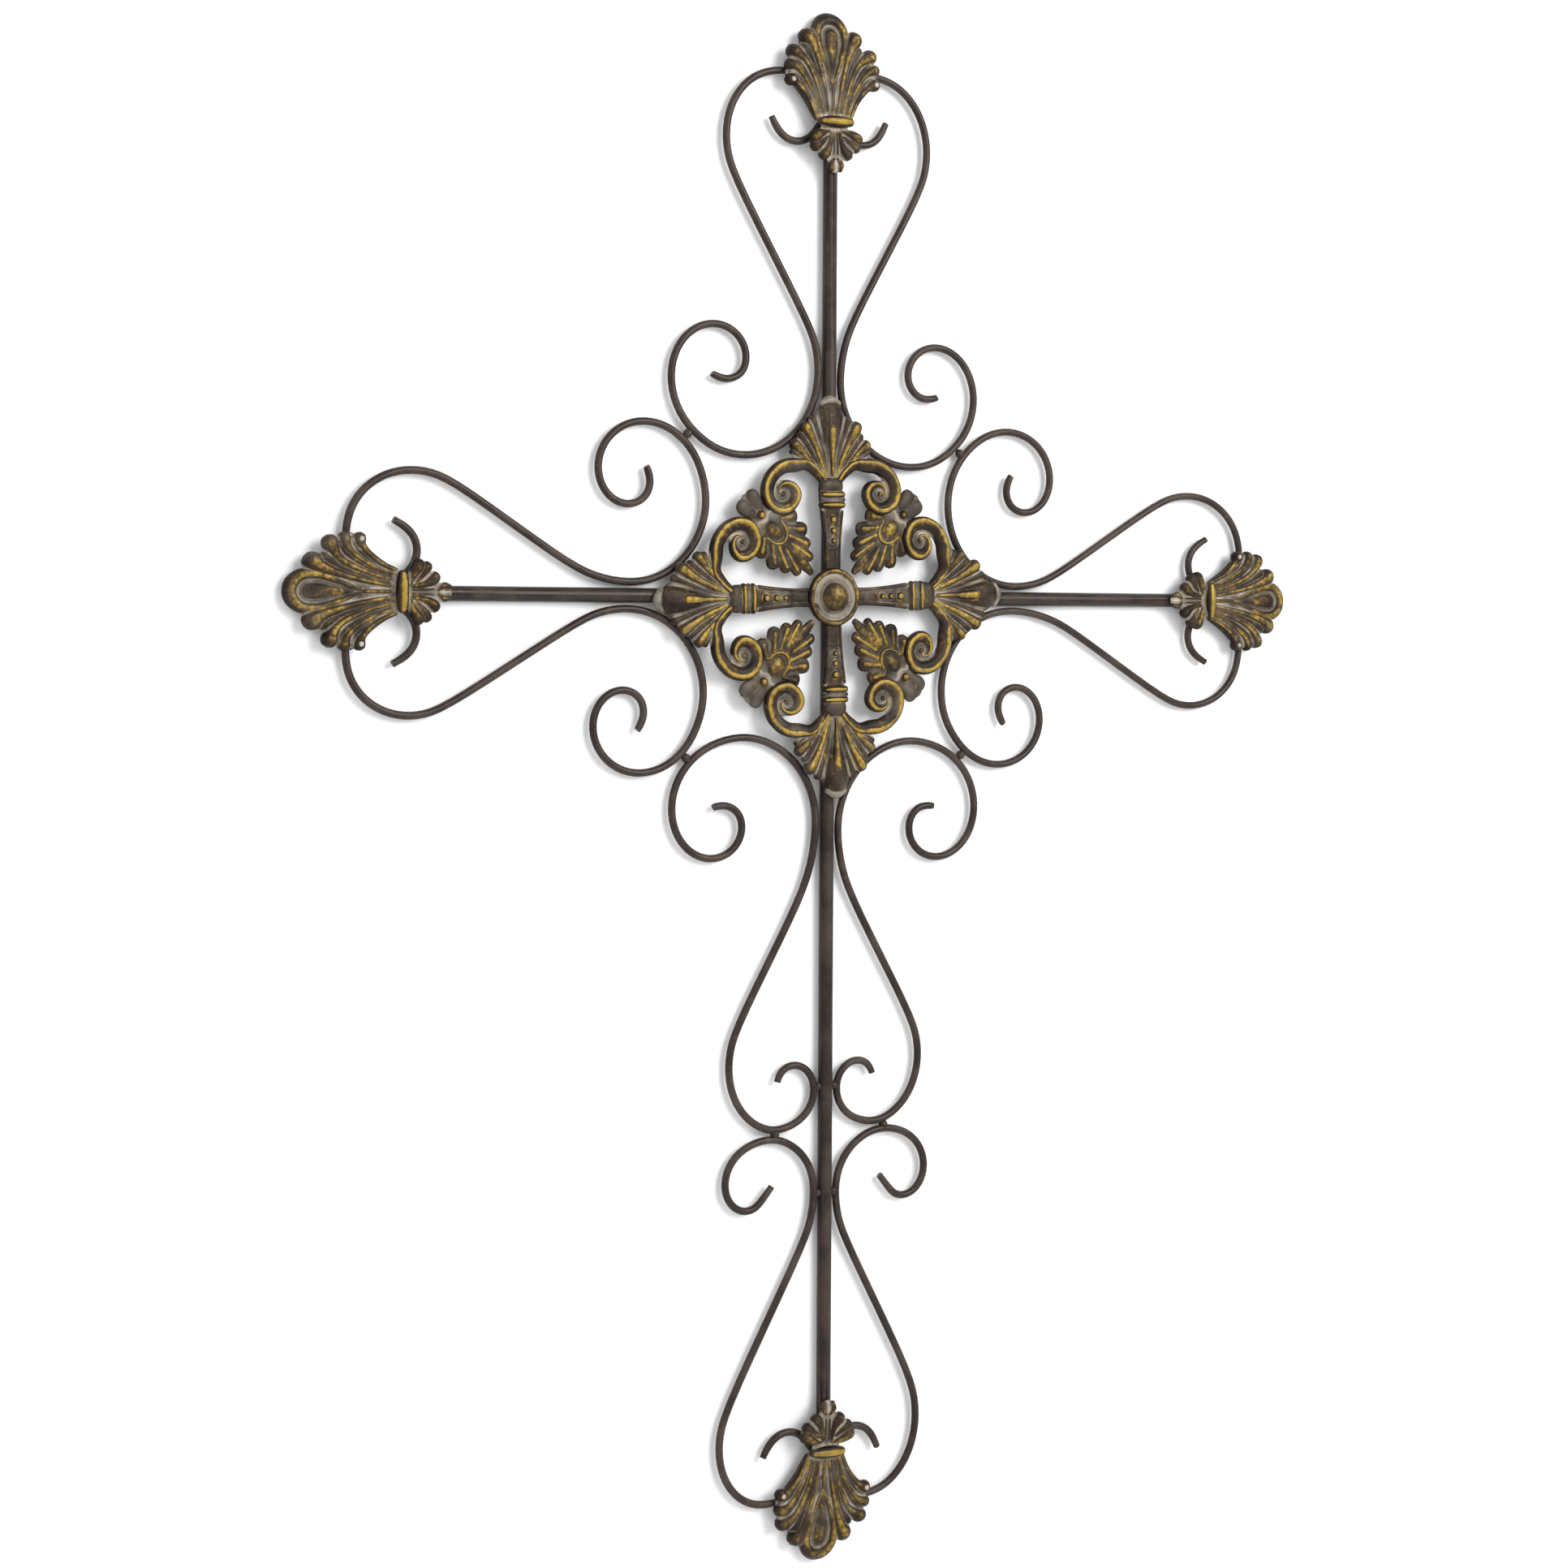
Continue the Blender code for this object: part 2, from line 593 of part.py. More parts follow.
def build():
    clear_scene()
    bar_finish = material("bronzed_bar", (0.055, 0.045, 0.040), 0.45, 0.8)
    wire_finish = material("bronzed_wire", (0.065, 0.052, 0.046), 0.45, 0.8)
    cast_finish = material("gilded_casting", (0.150, 0.110, 0.060), 0.40, 0.8)

    post = sweep_round("post", [-1j * (REACH["bottom"] - BAR_END_INSET),
                                1j * (REACH["top"] - BAR_END_INSET)], BAR_RADIUS, BAR_SIDES)
    add_object("post", post, bar_finish)
    for arm in ("left", "right"):
        ends = [OUTWARD[arm] * (BAR_RADIUS + GAP), OUTWARD[arm] * (REACH[arm] - BAR_END_INSET)]
        add_object(arm + "_arm", sweep_round(arm + "_arm", ends, BAR_RADIUS, BAR_SIDES), bar_finish)

    for name, line in wires().items():
        add_object(name, sweep_round(name, line, WIRE_RADIUS, WIRE_SIDES), wire_finish)

    bow = sweep_round("bow", bow_line(), WIRE_RADIUS, WIRE_SIDES)
    finial = finial_mesh()
    for arm in ("top", "left", "right", "bottom"):
        turn, tip = finial_place(arm)
        place = (tip.real, WIRE_PLANE, tip.imag)
        add_object(arm + "_bow", bow, wire_finish, place, -turn)
        add_object(arm + "_finial", finial, cast_finish, place, -turn)
    add_object("medallion", medallion_mesh(), cast_finish)


build()
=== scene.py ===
"""A wrought iron cross on a wall: bent wires and bars, moulded finials and a pierced medallion.

Everything is in metres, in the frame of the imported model: +Z up, the front towards -Y and the
wall at Y = 0. Each moulded ornament is drawn flat, in millimetres, as strokes of clay would be
laid: a stroke has a line of (across, along) points with a half width at each, a floor, a
steepness and a share of gold.
"""
import math

import bpy
import numpy
from mathutils import Matrix, Vector

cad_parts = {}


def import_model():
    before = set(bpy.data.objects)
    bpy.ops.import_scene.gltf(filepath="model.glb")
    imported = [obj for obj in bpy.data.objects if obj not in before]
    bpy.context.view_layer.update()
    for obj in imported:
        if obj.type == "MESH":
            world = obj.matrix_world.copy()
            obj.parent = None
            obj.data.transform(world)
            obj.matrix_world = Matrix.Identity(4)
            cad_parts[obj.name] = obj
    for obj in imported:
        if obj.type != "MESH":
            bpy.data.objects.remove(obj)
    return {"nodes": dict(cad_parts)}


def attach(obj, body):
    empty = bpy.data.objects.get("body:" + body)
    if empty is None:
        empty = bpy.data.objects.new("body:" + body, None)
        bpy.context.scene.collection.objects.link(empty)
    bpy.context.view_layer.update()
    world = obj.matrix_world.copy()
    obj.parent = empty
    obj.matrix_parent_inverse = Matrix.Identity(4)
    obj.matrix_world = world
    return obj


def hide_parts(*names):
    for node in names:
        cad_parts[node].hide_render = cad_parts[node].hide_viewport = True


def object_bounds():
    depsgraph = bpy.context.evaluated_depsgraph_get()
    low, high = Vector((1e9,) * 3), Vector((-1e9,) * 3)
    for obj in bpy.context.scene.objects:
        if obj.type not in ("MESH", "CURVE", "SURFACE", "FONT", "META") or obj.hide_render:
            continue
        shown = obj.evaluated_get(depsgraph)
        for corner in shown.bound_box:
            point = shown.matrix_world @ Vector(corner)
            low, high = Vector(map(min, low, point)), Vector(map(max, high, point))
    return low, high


MM = 0.001

# The cross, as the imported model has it. Each finial leans by some degrees about its collar and
# stands off the axis of its bar by its shift, taken along its shift way
BAR_RADIUS = 0.00475
WIRE_RADIUS = 0.0025
WIRE_PLANE = -BAR_RADIUS
BAR_SIDES = 16
WIRE_SIDES = 6
REACH = {"top": 0.3850, "left": 0.3760, "right": 0.3835, "bottom": 0.6340}
OUTWARD = {"top": 90.0, "left": 180.0, "right": 0.0, "bottom": 270.0}
FINIAL_LEAN = {"top": 1.8, "left": 0.0, "right": 0.0, "bottom": -3.0}
FINIAL_SHIFT = {"top": -0.0010, "left": 0.0008, "right": 0.0, "bottom": -0.0020}
SHIFT_WAY = {"top": (1, 0), "left": (0, 1), "right": (0, 1), "bottom": (1, 0)}
COLLAR_INSET = 0.0730
TIP_BEND_INSET = 0.0450
TIP_BEND_DEPTH = 0.0055
MEDALLION_TURN = 1.35

BARS = ("post", "left_arm", "right_arm")
WIRES = ("left_arm_upper_scroll", "left_arm_lower_scroll", "right_arm_upper_scroll",
         "right_arm_lower_scroll", "upper_left_scroll", "upper_right_scroll",
         "lower_left_scroll", "lower_right_scroll", "foot_left_scroll", "foot_right_scroll",
         "top_bow", "left_bow", "right_bow", "bottom_bow")

# Edges at least this sharp are the rims of cut ends
CUT_END_ANGLE = 75

# Edges flatter than this are shaded smooth
SMOOTH_ANGLE = 35

# Points nearer together than this are one point
SAME_POINT = 0.00001

# Depths of the moulded ornaments in front of the plane of the wires, in millimetres
FINIAL_BACK = 2.5
BAR_BACK = 5.1

# Where wires are welded to one another or to the bars: (across, along, turn), in millimetres
# and degrees
WELDS = ((-105, 104, 45), (103, 98, -45), (-105, -104, -45), (105, -106, 45),
         (-38, -351, 90), (45, -351.5, 90), (-6, -322, 0), (6, -322, 0),
         (-6, -392, 0), (6, -392, 0))
WELD_GRAIN = 0.0006

# Size of the grains that run together into a casting, and the share of its faces that is kept
CAST_GRAIN = 0.0004
FACES_KEPT = 0.5

# How many times the shares of gold are evened out between neighbouring points
FEATHER_ROUNDS = 4

# Fineness of the strokes and balls of clay
STROKE_SIDES = 5
STROKE_STEPS = 6
BALL_SEGMENTS = 32
BALL_RINGS = 20

# Colours of the oil-rubbed stock: dark, brown and rubbed
WIRE_TONES = ((0.023, 0.016, 0.013), (0.046, 0.034, 0.027), (0.105, 0.077, 0.040))
BAR_TONES = ((0.020, 0.0145, 0.012), (0.040, 0.029, 0.023), (0.090, 0.066, 0.036))

# Colours of the castings, and how far the wash looks for a hollow
DARK_METAL = (0.0050, 0.0031, 0.0022)
BROWN_METAL = (0.022, 0.0130, 0.0075)
# The glaze brown is partly the glaze's own tone and partly a painted sheen on the forward-facing
# relief
BROWN_GLAZE_AND_SHEEN = (0.058, 0.034, 0.011)
PALE_WASH = (0.375, 0.332, 0.270)
GILT = (0.245, 0.158, 0.023)
HOLLOW_REACH = 0.0040

# The stage
STAGE_SIZE = 6
WALL_GAP = 0.0006
WALL_HEIGHT = 0.8
FLOOR_HEIGHT = -1.1
WALL_WHITE = (0.71, 0.71, 0.71)
FLOOR_WHITE = (0.85, 0.85, 0.85)

# The lamps' aim and the light of the room
LAMP_AIM = (0, 0, -0.1)
ROOM_LIGHT = 0.75

# The camera, with its heading and roll in degrees and its lens and sensor in millimetres
CAMERA_PLACE = (-0.93105, -1.58508, -0.01274)
CAMERA_HEADING = 29.592
CAMERA_ROLL = 0.3246
CAMERA_LENS = 63.84
CAMERA_SENSOR = 36.0
CAMERA_SHIFT = -0.107


# Tools for picking, finishing and painting pieces

def deselect():
    """Leave edit mode and let go of everything."""
    if bpy.context.object and bpy.context.object.mode != "OBJECT":
        bpy.ops.object.mode_set(mode="OBJECT")
    bpy.ops.object.select_all(action="DESELECT")


def pick(item, *others):
    """Select the pieces, with the first one active."""
    deselect()
    for each in (item, *others):
        each.select_set(True)
    bpy.context.view_layer.objects.active = item


def edit(item):
    """Open a piece in edit mode."""
    pick(item)
    bpy.ops.object.mode_set(mode="EDIT")


def finish(item, name, surface):
    """Name a piece, give it its material and shade it smooth but for its sharp edges."""
    pick(item)
    item.name = name
    item.data.name = name
    item.data.materials.clear()
    item.data.materials.append(surface)
    bpy.ops.object.shade_smooth_by_angle(angle=math.radians(SMOOTH_ANGLE))


def apply_modifiers(item):
    """Make a piece's modifiers part of its mesh."""
    pick(item)
    for each in list(item.modifiers):
        bpy.ops.object.modifier_apply(modifier=each.name)


def paint(item, gold):
    """Give a piece one share of gold: above 0 is rubbed gold, below 0 is pale wash."""
    layer = item.data.attributes.new("gold", "FLOAT", "POINT")
    for corner in layer.data:
        corner.value = gold


# Materials

def surface_nodes(name):
    """A new material with its nodes, links, shader and coordinates."""
    made = bpy.data.materials.new(name)
    made.use_nodes = True
    nodes, links = made.node_tree.nodes, made.node_tree.links
    shader = nodes["Principled BSDF"]
    place = nodes.new("ShaderNodeTexCoord")
    return made, nodes, links, shader, place


def speckle(nodes, links, place, scale, detail=4.0, roughness=0.6):
    """Noise that stays where it is on a piece."""
    grain = nodes.new("ShaderNodeTexNoise")
    grain.inputs["Scale"].default_value = scale
    grain.inputs["Detail"].default_value = detail
    grain.inputs["Roughness"].default_value = roughness
    links.new(place.outputs["Object"], grain.inputs["Vector"])
    return grain.outputs["Fac"]


def ramp(nodes, links, source, low, high):
    """Rise softly from 0 at the low end to 1 at the high end."""
    rise = nodes.new("ShaderNodeMapRange")
    rise.interpolation_type = "SMOOTHSTEP"
    rise.inputs["From Min"].default_value = low
    rise.inputs["From Max"].default_value = high
    links.new(source, rise.inputs["Value"])
    return rise.outputs["Result"]


def combine(nodes, links, way, first, second):
    """Add or multiply two values, and keep the result between 0 and 1."""
    step = nodes.new("ShaderNodeMath")
    step.operation = way
    step.use_clamp = True
    for socket, value in zip(step.inputs, (first, second)):
        if isinstance(value, (int, float)):
            socket.default_value = value
        else:
            links.new(value, socket)
    return step.outputs["Value"]


def blend_colour(nodes, links, share, first, second):
    """Go from the first colour to the second as the share rises."""
    mix = nodes.new("ShaderNodeMix")
    mix.data_type = "RGBA"
    links.new(share, mix.inputs["Factor"])
    for socket, value in ((mix.inputs[6], first), (mix.inputs[7], second)):
        if isinstance(value, tuple):
            socket.default_value = (*value, 1.0)
        else:
            links.new(value, socket)
    return mix.outputs[2]


def set_roughness(nodes, links, shader, share, start, end):
    """Roughness from start to end as the share rises."""
    rough = nodes.new("ShaderNodeMapRange")
    rough.inputs["To Min"].default_value = start
    rough.inputs["To Max"].default_value = end
    links.new(share, rough.inputs["Value"])
    links.new(rough.outputs["Result"], shader.inputs["Roughness"])


def add_bump(nodes, links, shader, height, strength, distance):
    """Raise a fine grain on the surface."""
    bump = nodes.new("ShaderNodeBump")
    bump.inputs["Strength"].default_value = strength
    bump.inputs["Distance"].default_value = distance
    links.new(height, bump.inputs["Height"])
    links.new(bump.outputs["Normal"], shader.inputs["Normal"])


def dark_bronze(name, dark, brown, rub):
    """Oil-rubbed bronze on rolled steel: brown mottling, a little rub, a fine scale."""
    made, nodes, links, shader, place = surface_nodes(name)
    patches = ramp(nodes, links, speckle(nodes, links, place, 38.0), 0.40, 0.66)
    scuffs = ramp(nodes, links, speckle(nodes, links, place, 170.0, 6.0, 0.7), 0.56, 0.74)
    tone = blend_colour(nodes, links, patches, dark, brown)
    thin = combine(nodes, links, "MULTIPLY", scuffs, 0.45)
    tone = blend_colour(nodes, links, thin, tone, rub)
    links.new(tone, shader.inputs["Base Color"])
    shader.inputs["Metallic"].default_value = 0.30
    shader.inputs["Specular IOR Level"].default_value = 0.20
    set_roughness(nodes, links, shader, patches, 0.34, 0.52)
    fine = speckle(nodes, links, place, 520.0, 5.0, 0.65)
    add_bump(nodes, links, shader, fine, 0.35, 0.00025)
    return made


def gilded_relief(name):
    """Brown bronze with a pale wash lying in the hollows and gold rubbed over the crests."""
    made, nodes, links, shader, place = surface_nodes(name)
    gold = nodes.new("ShaderNodeAttribute")
    gold.attribute_name = "gold"
    gold = gold.outputs["Fac"]
    facing = nodes.new("ShaderNodeSeparateXYZ")
    links.new(place.outputs["Normal"], facing.inputs["Vector"])
    forward = combine(nodes, links, "MULTIPLY", facing.outputs["Y"], -1.0)
    drift = ramp(nodes, links, speckle(nodes, links, place, 80.0, 2.0), 0.25, 0.65)

    # Mottled metal under a warm glaze near the gold, laid lighter where the relief faces forward,
    # so it is partly a painted sheen
    mottle = ramp(nodes, links, speckle(nodes, links, place, 75.0), 0.36, 0.66)
    body = blend_colour(nodes, links, mottle, DARK_METAL, BROWN_METAL)
    # Painted sheen: the warm brown rises as the relief turns to face forward, toward the lamps
    glaze_and_sheen = combine(nodes, links, "MULTIPLY", ramp(nodes, links, forward, 0.50, 0.97), drift)
    near_gold = combine(nodes, links, "MULTIPLY", gold, 1.3)
    near_gold = combine(nodes, links, "ADD", near_gold, 0.15)
    glaze_and_sheen = combine(nodes, links, "MULTIPLY", glaze_and_sheen, near_gold)
    glazed_with_sheen = blend_colour(nodes, links, glaze_and_sheen, body, BROWN_GLAZE_AND_SHEEN)

    # Pale wash in the hollows, where it was wiped on by hand, and as a little dust
    hollow = nodes.new("ShaderNodeAmbientOcclusion")
    hollow.samples = 8
    hollow.only_local = True
    hollow.inputs["Distance"].default_value = HOLLOW_REACH
    pooled = ramp(nodes, links, hollow.outputs["AO"], 0.82, 0.56)
    uneven = ramp(nodes, links, speckle(nodes, links, place, 120.0), 0.20, 0.55)
    wiped = combine(nodes, links, "MULTIPLY", gold, -1.0)
    wash = combine(nodes, links, "MULTIPLY", combine(nodes, links, "ADD", pooled, wiped), uneven)
    dust = ramp(nodes, links, speckle(nodes, links, place, 48.0, 3.0), 0.50, 0.72)
    wash = combine(nodes, links, "ADD", wash, combine(nodes, links, "MULTIPLY", dust, 0.10))
    washed = blend_colour(nodes, links, wash, glazed_with_sheen, PALE_WASH)

    # Gold on the crests, broken by fine streaks. This sum may pass 1, so it isn't clamped
    crest = ramp(nodes, links, forward, 0.78, 0.985)
    laid = combine(nodes, links, "MULTIPLY", crest, gold)
    streaks = ramp(nodes, links, speckle(nodes, links, place, 380.0, 4.0, 0.6), 0.28, 0.72)
    rubbed = combine(nodes, links, "MULTIPLY", streaks, drift)
    rubbed = combine(nodes, links, "MULTIPLY", rubbed, 0.9)
    leafing = nodes.new("ShaderNodeMath")
    leafing.operation = "ADD"
    links.new(laid, leafing.inputs[0])
    links.new(rubbed, leafing.inputs[1])
    gilding = ramp(nodes, links, leafing.outputs["Value"], 0.50, 1.45)
    final = blend_colour(nodes, links, gilding, washed, GILT)
    links.new(final, shader.inputs["Base Color"])
    shader.inputs["Metallic"].default_value = 0.20
    shader.inputs["Specular IOR Level"].default_value = 0.16
    set_roughness(nodes, links, shader, gilding, 0.48, 0.36)
    fine = speckle(nodes, links, place, 380.0, 5.0, 0.65)
    add_bump(nodes, links, shader, fine, 0.35, 0.0004)
    return made


def plain(name, colour, roughness):
    """One even colour."""
    made = bpy.data.materials.new(name)
    made.use_nodes = True
    shader = made.node_tree.nodes["Principled BSDF"]
    shader.inputs["Base Color"].default_value = (*colour, 1.0)
    shader.inputs["Roughness"].default_value = roughness
    return made


def white_wall():
    """Plain white paint on the face of a thin wall; its other side lets the back be seen."""
    made = plain("white_wall", WALL_WHITE, 0.85)
    nodes, links = made.node_tree.nodes, made.node_tree.links
    side = nodes.new("ShaderNodeNewGeometry")
    clear = nodes.new("ShaderNodeBsdfTransparent")
    either = nodes.new("ShaderNodeMixShader")
    links.new(side.outputs["Backfacing"], either.inputs["Fac"])
    links.new(nodes["Principled BSDF"].outputs["BSDF"], either.inputs[1])
    links.new(clear.outputs["BSDF"], either.inputs[2])
    links.new(either.outputs["Shader"], nodes["Material Output"].inputs["Surface"])
    return made


# Bars and wires

def rounded_stock(frame, node, sides, radius):
    """The node's own run of stock, merged, brought back to quads and given a round skin."""
    pick(frame["nodes"][node])
    bpy.ops.object.duplicate()
    piece = bpy.context.object
    # The skin draws the corners of the stock in to this share of their radius, so a wire is
    # swollen by as much first, but for its cut ends, whose creased rims stay where they are.
    # A bar of sixteen sides loses only 0.12 mm and is left as it is
    drawn_in = 2 / 3 + math.cos(2 * math.pi / sides) / 3
    flat = radius * math.cos(math.pi / sides)
    edit(piece)
    bpy.ops.mesh.select_all(action="SELECT")
    bpy.ops.mesh.remove_doubles(threshold=SAME_POINT)
    bpy.ops.mesh.tris_convert_to_quads(face_threshold=math.radians(60),
                                       shape_threshold=math.radians(180))
    bpy.ops.mesh.select_all(action="DESELECT")
    bpy.ops.mesh.edges_select_sharp(sharpness=math.radians(CUT_END_ANGLE))
    bpy.ops.transform.edge_crease(value=1.0)
    if sides == WIRE_SIDES:
        bpy.ops.mesh.select_mode(type="VERT")
        bpy.ops.mesh.select_all(action="INVERT")
        bpy.ops.transform.shrink_fatten(value=flat * (1 / drawn_in - 1), use_even_offset=True)
    bpy.ops.object.mode_set(mode="OBJECT")
    skin = piece.modifiers.new("skin", "SUBSURF")
    skin.levels = skin.render_levels = 2
    apply_modifiers(piece)
    return piece


# Moulded ornaments

def rounded_end(point, neighbour):
    """Extra points that round off a stroke beyond its last point."""
    across, along, half = point
    length = math.hypot(across - neighbour[0], along - neighbour[1])
    way = ((across - neighbour[0]) / length, (along - neighbour[1]) / length)
    return [(across + way[0] * half * share, along + way[1] * half * share,
             half * math.sqrt(max(0.0004, 1 - share ** 2))) for share in (0.5, 0.82, 1.0)]


def stroke(points, floor, steep, gold=0.0, back=BAR_BACK, closed=False):
    """Half-round stroke of clay on a flat back: points are (across, along, half width)."""
    if not closed:
        points = (rounded_end(points[0], points[1])[::-1] + list(points)
                  + rounded_end(points[-1], points[-2]))
    deselect()
    bpy.ops.curve.primitive_bezier_curve_add()
    line = bpy.context.object
    line.data.splines.clear()
    run = line.data.splines.new("BEZIER")
    run.bezier_points.add(len(points) - 1)
    for knot, (across, along, half) in zip(run.bezier_points, points):
        knot.co = (across * MM, 0, along * MM)
        knot.handle_left_type = knot.handle_right_type = "AUTO"
        knot.radius = half
    run.use_cyclic_u = closed
    run.radius_interpolation = "CARDINAL"
    line.data.bevel_depth = MM
    line.data.bevel_resolution = STROKE_SIDES
    line.data.resolution_u = STROKE_STEPS
    line.data.use_fill_caps = not closed
    bpy.ops.object.convert(target="MESH")
    return press(bpy.context.object, floor, steep, gold, back)


def press(item, floor, steep, gold, back):
    """Flatten a round form to its steepness, stand it on its floor and cut its back flat."""
    edit(item)
    bpy.ops.mesh.select_all(action="SELECT")
    bpy.ops.mesh.remove_doubles(threshold=SAME_POINT)
    bpy.ops.transform.resize(value=(1, steep, 1), center_override=(0, 0, 0))
    bpy.ops.transform.translate(value=(0, -floor * MM, 0))
    bpy.ops.mesh.bisect(plane_co=(0, -back * MM, 0), plane_no=(0, 1, 0),
                        use_fill=True, clear_outer=True)
    bpy.ops.object.mode_set(mode="OBJECT")
    paint(item, gold)
    return item


def blob(across, along, half_width, half_length, floor, steep, gold=0.0, turn=0.0,
         back=BAR_BACK):
    """Ball of clay pressed on a flat back, as a stroke is."""
    deselect()
    bpy.ops.mesh.primitive_uv_sphere_add(segments=BALL_SEGMENTS, ring_count=BALL_RINGS,
                                         radius=MM, rotation=(math.radians(90), 0, 0))
    bpy.ops.object.transform_apply(location=False, rotation=True, scale=False)
    ball = bpy.context.object
    ball.scale = (half_width, 1.0, half_length)
    ball.rotation_euler = (0, math.radians(-turn), 0)
    ball.location = (across * MM, 0, along * MM)
    bpy.ops.object.transform_apply(location=True, rotation=True, scale=True)
    return press(ball, floor, steep, gold, back)


def both(points):
    """A stroke's points and their mirror image."""
    return points, [(-across, along, half) for across, along, half in points]


def joined(items):
    """Make one object of many."""
    pick(items[0], *items[1:])
    bpy.ops.object.join()
    return items[0]


def melt(item, grain=CAST_GRAIN):
    """Run the strokes of an ornament together as one casting, with soft hollows between them."""
    pick(item)
    item.data.remesh_voxel_size = grain
    item.data.use_remesh_preserve_attributes = True
    bpy.ops.object.voxel_remesh()
    soften = item.modifiers.new("soften", "SMOOTH")
    soften.factor = 0.5
    soften.iterations = 3
    lighten = item.modifiers.new("lighten", "DECIMATE")
    lighten.ratio = FACES_KEPT
    apply_modifiers(item)
    feather(item)
    return item


def feather(item):
    """Even out the shares of gold between neighbouring points, so no patch ends in a hard edge."""
    layer = item.data.attributes["gold"].data
    share = numpy.empty(len(layer))
    ends = numpy.empty(2 * len(item.data.edges), dtype=int)
    layer.foreach_get("value", share)
    item.data.edges.foreach_get("vertices", ends)
    first, second = ends[0::2], ends[1::2]
    meeting = 1 + numpy.bincount(ends, minlength=len(share))
    for step in range(FEATHER_ROUNDS):
        total = (share + numpy.bincount(first, share[second], len(share))
                 + numpy.bincount(second, share[first], len(share)))
        share = total / meeting
    layer.foreach_set("value", share)


def place_flat(item, turn, shift):
    """Turn an ornament in its plane, counter-clockwise from the front, and set it on the cross."""
    pick(item)
    item.rotation_euler = (0, -math.radians(turn), 0)
    item.location = (shift[0], WIRE_PLANE, shift[1])
    bpy.ops.object.transform_apply(location=True, rotation=True, scale=True)


